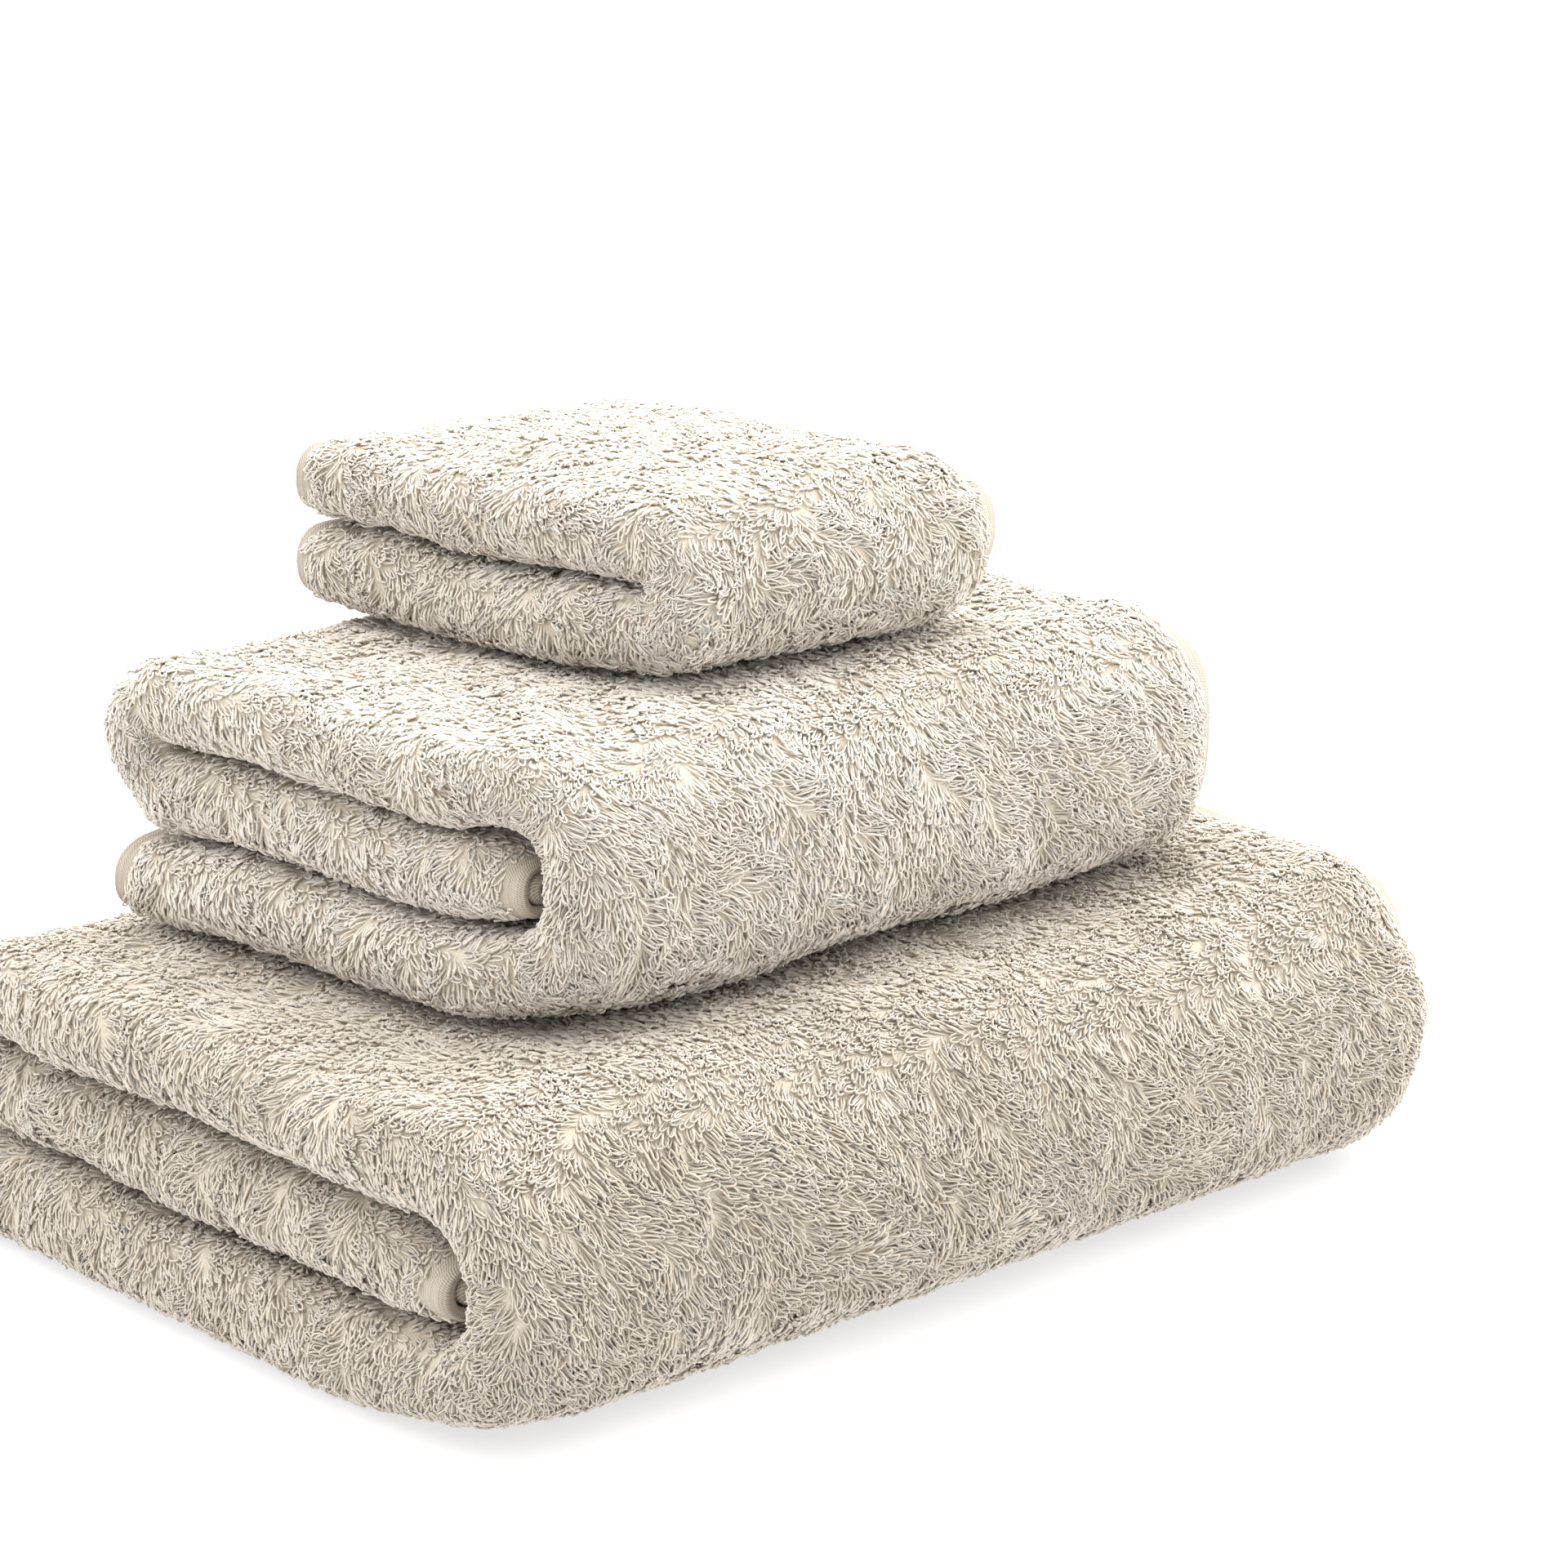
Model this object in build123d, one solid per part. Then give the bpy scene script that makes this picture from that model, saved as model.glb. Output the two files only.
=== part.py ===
from build123d import *
import os

# Three terry towels, folded and stacked: bath towel below, hand towel, guest towel on top.
# Millimetres. +Z up, the folded front edges face -Y, the main folds face +X.
# The origin is the centre of the bath towel's footprint, on the surface it rests on.

# Flat sizes of the towels
BATH_LENGTH = 1400.0
BATH_WIDTH = 700.0
HAND_LENGTH = 1030.0
HAND_WIDTH = 525.0
GUEST_LENGTH = 520.0
GUEST_WIDTH = 320.0

# One leaf is a towel folded in four along its length, so it is four plies thick
BATH_LEAF = 30.0
HAND_LEAF = 26.0
GUEST_LEAF = 26.0

LEAF_GAP = 0.5          # air between two leaves, and between two towels
PIECE_GAP = 0.05        # air between the pieces that make up one leaf
FREE_END_INSET = 8.0    # how far a bottom leaf stops short of the return fold above it
HAND_SHIFT_X = -19.0    # the upper towels sit a little towards the return folds
GUEST_SHIFT_X = -41.0

# Hems and sewing thread
SIDE_HEM_WIDTH = 12.0
END_HEM_WIDTH = 20.0
HEM_STEP = 1.5          # the woven hems lie this much below the pile
THREAD_RADIUS = 0.5
SIDE_SEAM_INSET = 9.0   # seam to the towel's side edge
END_SEAM_INSET = 16.0   # seam to the towel's end edge

PI = 3.141592653589793


def leaf_depth(length, pitch):
    """Front to back size of a leaf: a quarter of the length, corrected for its round bends."""
    bends = PI * pitch * (3 / 8 + 1 / 8 + 1 / 8)
    return (length - bends) / 4 + pitch / 2 + pitch / 4


def outline(pitch, depth, drop, far_cut):
    """Cross-section of a leaf in (y, n): round front edge, a bend and the hem recess behind.

    n is zero at mid-thickness and positive towards the outside of the folds.
    """
    half = pitch / 2 - LEAF_GAP / 2 - drop
    quarter = half / 2
    front = -depth / 2 + drop
    back = depth / 2 - drop
    lines = [
        Line((front + half, -half), (back - quarter, -half)),
        ThreePointArc((back - quarter, -half), (back, -quarter), (back - quarter, 0)),
        Line((back - quarter, 0), (back - far_cut, 0)),
        Line((back - far_cut, 0), (back - far_cut, half)),
        Line((back - far_cut, half), (front + half, half)),
        ThreePointArc((front + half, half), (front, 0), (front + half, -half)),
    ]
    return make_face(lines)


def side_outline(pitch, depth):
    """Cross-section of a side hem, which follows the leaf's own outline a little below it."""
    return outline(pitch, depth, HEM_STEP, END_HEM_WIDTH + PIECE_GAP - HEM_STEP)


def hem_strip(pitch, depth, layer):
    """Cross-section of an end hem. layer 1 is the outer ply, layer 0 is the ply under it."""
    quarter = (pitch / 2 - LEAF_GAP / 2) / 2
    thick = quarter - HEM_STEP
    low = layer * quarter + PIECE_GAP
    y_mid = depth / 2 - END_HEM_WIDTH / 2 + PIECE_GAP / 2
    strip = Rectangle(END_HEM_WIDTH - PIECE_GAP, thick)
    return Pos(y_mid, low + thick / 2) * strip


def seam_dot(pitch, depth):
    """Cross-section of the thread sewn along the outer end hem."""
    quarter = (pitch / 2 - LEAF_GAP / 2) / 2
    n = 2 * quarter - HEM_STEP + 2 * PIECE_GAP + THREAD_RADIUS
    return Pos(depth / 2 - END_SEAM_INSET, n) * Circle(THREAD_RADIUS)


def stand(face, x, z, outward):
    """Put a (y, n) face upright at (x, z), with n along +Z (outward 1) or -Z (outward -1)."""
    plane = Plane(origin=(x, 0, z), x_dir=(0, 1, 0), z_dir=(outward, 0, 0))
    return plane * face


def run(face, x_from, x_to, z, outward):
    """Straight piece with its cross-section centred on height z."""
    upright = stand(face, min(x_from, x_to), z, outward)
    return extrude(upright, amount=abs(x_to - x_from), dir=(1, 0, 0))


def turn(face, x_axis, z_axis, radius, side):
    """Half-turn piece around an axis along Y. side 1 bulges to +X, side -1 to -X."""
    start_z = z_axis - radius if side > 0 else z_axis + radius
    outward = -1 if side > 0 else 1
    upright = stand(face, x_axis, start_z, outward)
    axis = Axis((x_axis, 0, z_axis), (0, -1, 0))
    return revolve(upright, axis=axis, revolution_arc=180)


def side_seam(pitch, depth, x, z):
    """Sewing thread along a side hem, round the leaf's front edge."""
    half = pitch / 2 - LEAF_GAP / 2 - HEM_STEP + PIECE_GAP + THREAD_RADIUS
    front = -depth / 2 + HEM_STEP - PIECE_GAP - THREAD_RADIUS
    back = depth / 2 - END_HEM_WIDTH - 2.0
    plane = Plane(origin=(x, 0, z), x_dir=(0, 1, 0), z_dir=(1, 0, 0))
    lower = Line((back, -half), (front + half, -half))
    bend = ThreePointArc((front + half, -half), (front, 0), (front + half, half))
    upper = Line((front + half, half), (back, half))
    path = plane * Wire([lower, bend, upper])
    start = Plane(origin=(x, back, z - half), x_dir=(1, 0, 0), z_dir=(0, -1, 0))
    return sweep(start * Circle(THREAD_RADIUS), path=path)


def letter_fold(length, width, pitch):
    """Towel folded in three: bottom leaf, main fold, top leaf, return fold, tucked leaf."""
    depth = leaf_depth(length, pitch)
    flat = (width - PI * pitch - PI * pitch / 2) / 3
    x_fold = flat / 2 - pitch / 4
    x_return = x_fold - flat
    x_free = x_return - pitch + FREE_END_INSET
    x_tuck = x_fold
    z_low, z_mid, z_top = pitch * 0.5, pitch * 1.5, pitch * 2.5
    leaf = outline(pitch, depth, 0, END_HEM_WIDTH)
    side = side_outline(pitch, depth)

    def around(face, start, end):
        pieces = [
            run(face, start, x_fold, z_low, -1),
            turn(face, x_fold, z_mid, pitch, 1),
            run(face, x_return, x_fold, z_top, 1),
            turn(face, x_return, 2 * pitch, pitch / 2, -1),
            run(face, x_return, end, z_mid, -1),
        ]
        return pieces

    hem_from = x_free + SIDE_HEM_WIDTH
    hem_to = x_tuck - SIDE_HEM_WIDTH
    names = ["bottom_leaf", "main_fold", "top_leaf", "return_fold", "tucked_leaf"]
    parts = dict(zip(names, around(leaf, hem_from, hem_to)))
    parts["side_hem_free"] = run(side, x_free, hem_from - PIECE_GAP, z_low, -1)
    parts["side_hem_tucked"] = run(side, hem_to + PIECE_GAP, x_tuck, z_mid, -1)
    seam_free = x_free + SIDE_SEAM_INSET
    seam_tucked = x_tuck - SIDE_SEAM_INSET
    parts["side_seam_free"] = side_seam(pitch, depth, seam_free, z_low)
    parts["side_seam_tucked"] = side_seam(pitch, depth, seam_tucked, z_mid)
    parts["end_hem_outer"] = joined(around(hem_strip(pitch, depth, 1), x_free, x_tuck))
    parts["end_hem_inner"] = joined(around(hem_strip(pitch, depth, 0), x_free, x_tuck))
    parts["end_seam"] = joined(around(seam_dot(pitch, depth), x_free + 2, x_tuck - 2))
    return parts


def half_fold(length, width, pitch):
    """Towel folded in two: bottom leaf, fold and a top leaf that opens like a book."""
    depth = leaf_depth(length, pitch)
    flat = (width - PI * pitch / 2) / 2
    x_fold = flat / 2
    x_free = x_fold - flat
    z_low, z_mid, z_top = pitch * 0.5, pitch, pitch * 1.5
    leaf = outline(pitch, depth, 0, END_HEM_WIDTH)
    side = side_outline(pitch, depth)
    hem_from = x_free + SIDE_HEM_WIDTH
    parts = {}

    def three(names, face, start):
        parts[names[0]] = run(face, start, x_fold, z_low, -1)
        parts[names[1]] = turn(face, x_fold, z_mid, pitch / 2, 1)
        parts[names[2]] = run(face, start, x_fold, z_top, 1)

    three(["bottom_leaf", "fold", "top_leaf"], leaf, hem_from)
    for name, z, outward in (("lower", z_low, -1), ("upper", z_top, 1)):
        hem = run(side, x_free, hem_from - PIECE_GAP, z, outward)
        parts["side_hem_" + name] = hem
        parts["side_seam_" + name] = side_seam(pitch, depth, x_free + SIDE_SEAM_INSET, z)
    places = ("lower", "fold", "upper")
    outer, inner = hem_strip(pitch, depth, 1), hem_strip(pitch, depth, 0)
    three(["end_hem_outer_" + place for place in places], outer, x_free)
    three(["end_hem_inner_" + place for place in places], inner, x_free)
    three(["end_seam_" + place for place in places], seam_dot(pitch, depth), x_free + 2)
    return parts


def joined(pieces):
    """Fuse the pieces of one continuous strip into one solid."""
    whole = pieces[0]
    for piece in pieces[1:]:
        whole = whole + piece
    return whole


def towels():
    """All pieces by node name, in their places in the stack."""
    z_hand = 3 * BATH_LEAF + LEAF_GAP
    z_guest = z_hand + 3 * HAND_LEAF + LEAF_GAP
    stack = [
        ("bath", letter_fold(BATH_LENGTH, BATH_WIDTH, BATH_LEAF), 0, 0),
        ("hand", letter_fold(HAND_LENGTH, HAND_WIDTH, HAND_LEAF), HAND_SHIFT_X, z_hand),
        ("guest", half_fold(GUEST_LENGTH, GUEST_WIDTH, GUEST_LEAF), GUEST_SHIFT_X, z_guest),
    ]
    nodes = {}
    for towel, parts, shift_x, shift_z in stack:
        for name, part in parts.items():
            lift = shift_z - LEAF_GAP / 2
            nodes[towel + "_" + name] = Pos(shift_x, 0, lift) * part
    return nodes


def main():
    os.makedirs("parts", exist_ok=True)
    for name, part in towels().items():
        solid = part.solids()[0]
        solid.label = name
        export_step(solid, "parts/" + name + ".step")
        box = solid.bounding_box()
        print(name, len(part.solids()), round(solid.volume), box.min, box.max)


main()
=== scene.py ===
import math

import bpy
import numpy as np
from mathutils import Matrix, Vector

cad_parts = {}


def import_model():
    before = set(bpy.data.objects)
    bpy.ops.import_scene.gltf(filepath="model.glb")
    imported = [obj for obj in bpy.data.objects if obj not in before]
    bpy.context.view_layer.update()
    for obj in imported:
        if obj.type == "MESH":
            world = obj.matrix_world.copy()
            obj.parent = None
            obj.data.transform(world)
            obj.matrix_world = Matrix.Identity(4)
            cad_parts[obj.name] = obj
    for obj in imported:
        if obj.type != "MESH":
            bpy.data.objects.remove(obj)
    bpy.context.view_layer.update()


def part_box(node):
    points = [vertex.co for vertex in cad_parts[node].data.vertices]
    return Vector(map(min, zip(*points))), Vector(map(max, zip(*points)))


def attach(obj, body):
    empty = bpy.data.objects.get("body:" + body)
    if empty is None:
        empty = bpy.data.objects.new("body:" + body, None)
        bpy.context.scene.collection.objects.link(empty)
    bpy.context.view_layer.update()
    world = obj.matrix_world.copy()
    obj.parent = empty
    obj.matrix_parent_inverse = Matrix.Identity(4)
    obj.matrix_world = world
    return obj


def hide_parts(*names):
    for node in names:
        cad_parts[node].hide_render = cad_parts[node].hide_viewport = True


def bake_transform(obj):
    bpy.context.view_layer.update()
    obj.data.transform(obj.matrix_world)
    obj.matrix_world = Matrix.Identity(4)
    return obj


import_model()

MM = 0.001
LEAF_GAP = 0.5 * MM             # air between two leaves
PATH_STEP = 0.25 * MM           # spacing of the points that a fold path is kept as

# One ply of cloth. Heights are from the middle of its woven ground
GROUND_HALF = 1.1 * MM          # half the thickness of the woven ground
PILE_HEIGHT = 3.4 * MM          # from the outer ply's middle to the leaf's outer face
BACK_RIM = 27 * MM              # length over which a ply dips at its back end

# Hems and sewing thread
SIDE_HEM = 12.0 * MM
END_HEM = 20.0 * MM
OVERGROWN = 6.0 * MM            # strip of a hem that the pile beside it fans over
HEM_INNER = -1.4 * MM
HEM_OUTER = 1.9 * MM
SIDE_CORDS = (1.6 * MM, 2.6 * MM, 0.38 * MM)    # first cord, spacing and height, on a side hem
END_CORDS = (2.0 * MM, 3.1 * MM, 0.32 * MM)     # the same on an end hem
SIDE_CORDS_END = 9.5 * MM
SIDE_ROUNDING = 2.2 * MM        # how far in from its edge a hem reaches its full thickness
END_ROUNDING = 1.6 * MM
SIDE_SEAM_INSET = 9 * MM        # stitches to the towel's side edge
END_SEAM_INSET = END_HEM - 4 * MM
SEAM_HEIGHT = HEM_OUTER - 0.1 * MM
STITCH = 2.6 * MM
STITCH_GAP = 0.5 * MM
STITCH_ARCH = 0.35 * MM
THREAD_RADIUS = 0.42 * MM
SEAM_POINTS = 1500

# Loop pile: each loop is one hairpin of yarn, and loops lean together in locks
LOOPS_FULL = 28.0               # loops per square centimetre on exposed faces
LOOPS_INSIDE = 11.0             # on faces that only show when the guest leaf is opened
LOOPS_UNDER = 11.0              # on faces that only show when a towel is lifted
LOOPS_AT_BACK = 0.8             # share of the full pile at the back bend
LOOP_REACH = 5.7 * MM
LOOP_REACH_SPREAD = (0.8, 1.22)
LOOP_REACH_LIMITS = (3.2 * MM, 7.5 * MM)
LOOP_HALF_WIDTH = 0.66 * MM
LOOP_WIDTH_SPREAD = (0.8, 1.25)
LOOP_RISE = (0.9 * MM, 2.7 * MM)
BEND_RISE = 1.8 * MM            # highest rise on the inward face of a bend
LOOP_TURN = 0.13                # radians of spread in direction, roll and curl from loop to loop
LOOP_TWIST = 0.6
LOOP_CURL = 0.32
LOCK_SIZE = 8.0 * MM
LOCK_TURN = 0.30
LOCK_PULL = 0.19                # how far tips are drawn to their lock's centre
TOP_REACH_LOSS = 0.25           # loops lie shorter and flatter on top, where the stack was patted
TOP_RISE_LOSS = 0.30
PRESSED_REACH = 1.2             # loops under a towel: longer, flatter and wider
PRESSED_RISE = 0.7
PRESSED_GIRTH = 1.35
STRAND_RADIUS = 0.39 * MM
STRAND_SIDES = 3
LOOP_STATIONS = np.array([0.0, 0.15, 0.30, 0.43, 0.57, 0.70, 0.85, 1.0])
MAX_LOOPS_PER_PIECE = 4600
JITTER = 0.55                   # in grid cells
LEAST_STRETCH = 0.6
COVERED_INSET = 30 * MM         # how far in from its edges a towel hides the one under it
FLOOR_CLEARANCE = 0.5 * MM

# How far the outer pile reaches back from a leaf's round front edge, in mm: upper ply, lower ply
EVERYWHERE = 999
PILE_SHOWN = {
    "bottom_leaf": (12, 24),
    "main_fold": (EVERYWHERE, 30),
    "fold": (EVERYWHERE, 16),
    "top_leaf": (EVERYWHERE, 20),
    "return_fold": (EVERYWHERE, 8),
    "tucked_leaf": (22, 20),
}
FREE_TIP = 26 * MM              # the bottom leaf's free end has pile all round

# What sets one towel apart from the next. Lengths in mm, except flat in m. shade is painted shade on
# each towel's cotton, for how brightly it is lit in the stack: the lower it is, the darker the towel is
# painted, so the bath towel at the bottom is darkest
SHAPES = {
    "bath": {
        "folds": 3, "flat": (0.7, 1.4), "seed": 11, "shade": 0.17,
        "yaw": 0.0, "shift": (0.0, 0.0, 0.0),
        "rim_drop": 6.0, "crown": -1.5, "sag": 1.7, "swell": 7.0, "corner": 2.5,
        "end_depth": 13.0, "end_droop": 0.0,
    },
    "hand": {
        "folds": 3, "flat": (0.525, 1.03), "seed": 23, "shade": 0.97,
        "yaw": 2.4, "shift": (7, 0, -1.5),
        "rim_drop": 6.5, "crown": -1.0, "sag": 3.0, "swell": 4.0, "corner": 6.5,
        "end_depth": 5.5, "end_droop": 0.6,
    },
    "guest": {
        "folds": 2, "flat": (0.32, 0.52), "seed": 37, "shade": 0.85,
        "yaw": 1.3, "shift": (6, 0, -2.5),
        "rim_drop": 6.0, "crown": 1.5, "sag": 3.5, "swell": 2.0, "corner": 5.0,
        "end_depth": 7.0, "end_droop": 0.8,
    },
}
CORNER_LIFT = 5.5 * MM          # rise of the lowest leaf's near corner
FRONT_REACH = 90 * MM           # how far back the front edges' own shape is felt
TUCK_PINCH = 26 * MM            # length over which the tucked leaf thins towards its hem

# Yarn and cloth colours. Along each loop the colour runs from root to tip, and the root is painted a
# little darker for the shade between the loops. The dark and pale ends scale each loop's colour: painted
# shade for how brightly each towel is lit in the stack, with a random spread from loop to loop and lock
# to lock.
SHADED_ROOT = (0.70, 0.625, 0.515)
MID = (0.715, 0.643, 0.542)
TIP = (0.72, 0.655, 0.565)
SHADE_DARK = (0.76, 0.74, 0.71)
PALE = (1.0, 1.0, 1.0)

# Camera: where the bath towel's near bottom corner lies from the picture's centre, and how far away
LENS = 96.64
CAMERA_AZIMUTH = 47.38
CAMERA_PITCH = 14.61
CAMERA_DISTANCE = 1.0062
CORNER_RIGHT = -0.0642
CORNER_UP = -0.1722
LAMP_TARGET = (0, 0, 0.1)
FLOOR_HALF = 6.0

rng = np.random.default_rng(20)


# ---------------------------------------------------------------- small helpers

def unit(v):
    return v / np.maximum(np.linalg.norm(v, axis=-1, keepdims=True), 1e-12)


def smooth(x):
    x = np.clip(x, 0, 1)
    return x * x * (3 - 2 * x)


def waves(points, wavelength, seed, count=12):
    """Smooth noise of about -1 to 1: a sum of sine waves in random directions."""
    draw = np.random.default_rng(seed)
    total = np.zeros(points.shape[:-1])
    for _ in range(count):
        k = unit(draw.normal(size=3)) * 2 * math.pi / (wavelength * draw.uniform(0.7, 1.5))
        total += np.sin(points @ k + draw.uniform(0, 2 * math.pi))
    return total * math.sqrt(2.0 / count) * 0.7


def new_mesh(name, co, faces):
    """Smooth mesh object from an (n, 3) array and an (m, 4) array of vertex numbers."""
    mesh = bpy.data.meshes.new(name)
    mesh.vertices.add(len(co))
    mesh.vertices.foreach_set("co", np.ascontiguousarray(co, np.float32).ravel())
    sides = faces.shape[1]
    mesh.loops.add(faces.size)
    mesh.loops.foreach_set("vertex_index", np.ascontiguousarray(faces, np.int32).ravel())
    mesh.polygons.add(len(faces))
    mesh.polygons.foreach_set("loop_start", np.arange(0, faces.size, sides, dtype=np.int32))
    mesh.polygons.foreach_set("use_smooth", np.full(len(faces), True))
    mesh.update(calc_edges=True)
    mesh.validate()
    piece = bpy.data.objects.new(name, mesh)
    bpy.context.scene.collection.objects.link(piece)
    return piece


def store(piece, name, values):
    layer = piece.data.attributes.new(name, "FLOAT", "POINT")
    layer.data.foreach_set("value", np.ascontiguousarray(values, np.float32).ravel())


# ---------------------------------------------------------------- fold geometry

class PlaneCurve:
    """A planar curve that can be read at any distance along it, with its right-hand normal."""

    def __init__(self, points, soften):
        points = np.array(points, float)
        keep = np.r_[True, np.linalg.norm(np.diff(points, axis=0), axis=1) > 1e-7]
        points = points[keep]
        s = np.r_[0, np.cumsum(np.linalg.norm(np.diff(points, axis=0), axis=1))]
        self.length = s[-1]
        self.s = np.linspace(0, self.length, int(self.length / PATH_STEP))
        self.p = np.stack([np.interp(self.s, s, points[:, i]) for i in (0, 1)], -1)
        d = unit(np.gradient(self.p, axis=0))
        width = max(1, int(soften / PATH_STEP))
        kernel = np.ones(2 * width + 1) / (2 * width + 1)
        padded = np.pad(d, ((width, width), (0, 0)), mode="edge")
        d = unit(np.stack([np.convolve(padded[:, i], kernel, "valid") for i in (0, 1)], -1))
        self.n = np.stack([d[:, 1], -d[:, 0]], -1)

    def at(self, s):
        p = np.stack([np.interp(s, self.s, self.p[:, i]) for i in (0, 1)], -1)
        n = np.stack([np.interp(s, self.s, self.n[:, i]) for i in (0, 1)], -1)
        return p, unit(n)


def arc(cx, cy, r, start, end, power=2.0, count=90):
    """Points on a round or slightly squared bend."""
    a = np.radians(np.linspace(start, end, count))
    c, s = np.cos(a), np.sin(a)
    e = 2.0 / power
    return np.stack([cx + r * np.sign(c) * np.abs(c) ** e, cy + r * np.sign(s) * np.abs(s) ** e], -1)


def rim(y_end, n, drop):
    """Points of a ply that dips towards the middle of the leaf at its back end."""
    t = np.linspace(1, 0, 20)
    return [(y_end - BACK_RIM * (1 - v), n - drop * v * v) for v in t]


class Towel:
    """A terry towel folded in four along its length, then in three or in two across it.

    s runs along the fold path in the XZ plane and l along the towel's length, over all four plies.
    """

    def __init__(self, name, folds, flat, seed, shade, yaw, shift, **soft):
        self.name = name
        self.folds = folds
        self.flat = flat
        self.seed = seed
        self.shade = shade
        self.yaw = math.radians(yaw)
        self.shift = [d * MM for d in shift]
        self.end_droop = soft.pop("end_droop")
        self.soft = {key: value * MM for key, value in soft.items()}
        low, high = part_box(name + "_bottom_leaf")
        self.pitch = high.z - low.z + LEAF_GAP
        self.base = low.z
        self.front, self.back = low.y, high.y
        hem_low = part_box(name + ("_side_hem_free" if folds == 3 else "_side_hem_lower"))[0]
        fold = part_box(name + ("_main_fold" if folds == 3 else "_fold"))
        self.x_free = hem_low.x
        self.x_fold = fold[0].x
        self.x_out = fold[1].x
        self.top = fold[1].z
        self.profile()
        self.section()

    def profile(self):
        """The fold path in the XZ plane, and the stretch of it that each leaf and fold takes."""
        p, z0 = self.pitch, self.base - LEAF_GAP / 2
        low = (self.x_free, z0 + p / 2)
        if self.folds == 3:
            x_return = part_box(self.name + "_return_fold")[1].x
            x_tuck = self.x_fold + 0.36 * p
            path = [low]
            path += list(arc(self.x_fold, z0 + 1.5 * p, p, -90, 90, power=2.3))
            path += list(arc(x_return, z0 + 2 * p, p / 2, 90, 270))
            path += [(x_tuck, z0 + 1.5 * p)]
            marks = [0, self.x_fold - self.x_free]
            self.path = PlaneCurve(path, 2 * MM)
            x, z = self.path.p[:, 0], self.path.p[:, 1]
            top = self.path.s[(z > z0 + 2 * p) & (x < self.x_fold) & (x > x_return)]
            marks += [top.min(), top.max()]
            marks += [self.path.length - (x_tuck - x_return), self.path.length]
            names = ["bottom_leaf", "main_fold", "top_leaf", "return_fold", "tucked_leaf"]
        else:
            path = [low]
            path += list(arc(self.x_fold, z0 + p, p / 2, -90, 90, power=2.1))
            path += [(self.x_free, z0 + 1.5 * p)]
            self.path = PlaneCurve(path, 1.5 * MM)
            flat = self.x_fold - self.x_free
            marks = [0, flat, self.path.length - flat, self.path.length]
            names = ["bottom_leaf", "fold", "top_leaf"]
        self.spans = dict(zip(names, zip(marks[:-1], marks[1:])))

    def section(self):
        """The four plies of a leaf in the (y, n) plane: outer, round the back, inner, and back again."""
        half = (self.pitch - LEAF_GAP) / 2
        self.outer = half - PILE_HEIGHT
        inner = self.outer / 3
        yc = self.front + half
        y_back = self.back - PILE_HEIGHT
        bend = (self.outer - inner) / 2
        points = rim(self.back - 1 * MM, self.outer, self.soft["rim_drop"])
        points += list(arc(yc, 0, self.outer, 90, 270, power=2.4))
        points += list(arc(y_back - bend, -(self.outer + inner) / 2, bend, -90, 90, count=40))
        points += list(arc(yc, 0, inner, 270, 90, count=40))
        points += rim(self.back - 5 * MM, inner, 2.2 * MM)[::-1]
        self.plies = PlaneCurve(points, 0.5 * MM)
        y, n = self.plies.p[:, 0], self.plies.p[:, 1]
        s = self.plies.s
        front = s[(y < yc) & (np.abs(n) > inner + 0.2 * MM)]
        self.l_front = (front.min(), s[(y < yc) & (s < self.plies.length / 2)].max())
        self.l_middle = sum(self.l_front) / 2
        back = s[(y > y_back - bend) & (n < -inner + 0.1 * MM)]
        self.l_back = (back.min(), back.max())

    def fold_depth(self, s):
        """How far the front edge of each leaf is set back, which varies from leaf to leaf."""
        if self.folds == 2:
            lo, hi = self.spans["top_leaf"]
            return 1.5 * MM * smooth((s - lo) / (30 * MM))
        lo, hi = self.spans["return_fold"]
        first = self.spans["bottom_leaf"][1]
        tucked = 2.0 * MM * smooth((s - lo) / (hi - lo))
        bottom = -1.5 * MM * smooth((first - s) / (40 * MM))
        return tucked + bottom

    def place(self, s, l, off):
        """Point of the folded towel: s along the fold path, l along the plies, off above the ply."""
        p, n = self.path.at(s)
        q, m = self.plies.at(l)
        across = q[..., 1] + off * m[..., 1]
        y = q[..., 0] + off * m[..., 0]
        near = smooth((self.front + FRONT_REACH - y) / FRONT_REACH)
        y = y + self.fold_depth(s) * near
        if self.folds == 3:
            pinch = smooth((s - self.path.length + TUCK_PINCH) / TUCK_PINCH) * near
            across = across * (1 - 0.34 * pinch) + 0.30 * self.outer * pinch
        points = np.stack([p[..., 0] + n[..., 0] * across, y, p[..., 1] + n[..., 1] * across], -1)
        return self.settle(points)

    def settle(self, points):
        """Soft shape: crowned top, sagging edges, a swelling far end, and the towel's own turn.

        u, v and h are the place in the towel: -1 to 1 left to right and front to back, 0 to 1 upwards.
        """
        x, y, z = points[..., 0], points[..., 1], points[..., 2]
        u = np.clip((x - (self.x_free + self.x_out) / 2) / ((self.x_out - self.x_free) / 2), -1, 1)
        v = np.clip((y - (self.front + self.back) / 2) / ((self.back - self.front) / 2), -1, 1)
        h = np.clip((z - self.base) / (self.top - self.base), 0, 1)
        crown = (1 - np.abs(u) ** 3) * (1 - np.abs(v) ** 3)
        edge = np.maximum(smooth((np.abs(v) - 0.45) / 0.55), smooth((np.abs(u) - 0.5) / 0.5))
        z = z + h ** 1.5 * (self.soft["crown"] * crown - self.soft["sag"] * edge)
        z = z + self.soft["swell"] * h ** 1.5 * smooth((v - 0.55) / 0.3) * (1 - np.abs(u) ** 5)
        corner = smooth((u - 0.4) / 0.4) * smooth((-v - 0.75) / 0.25)
        y = y + self.soft["corner"] * corner
        z = z + CORNER_LIFT * (1 - h) ** 3 * corner
        x, z = self.round_back(x, y, z)
        return self.turned(self.wavy(np.stack([x, y, z], -1)))

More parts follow.
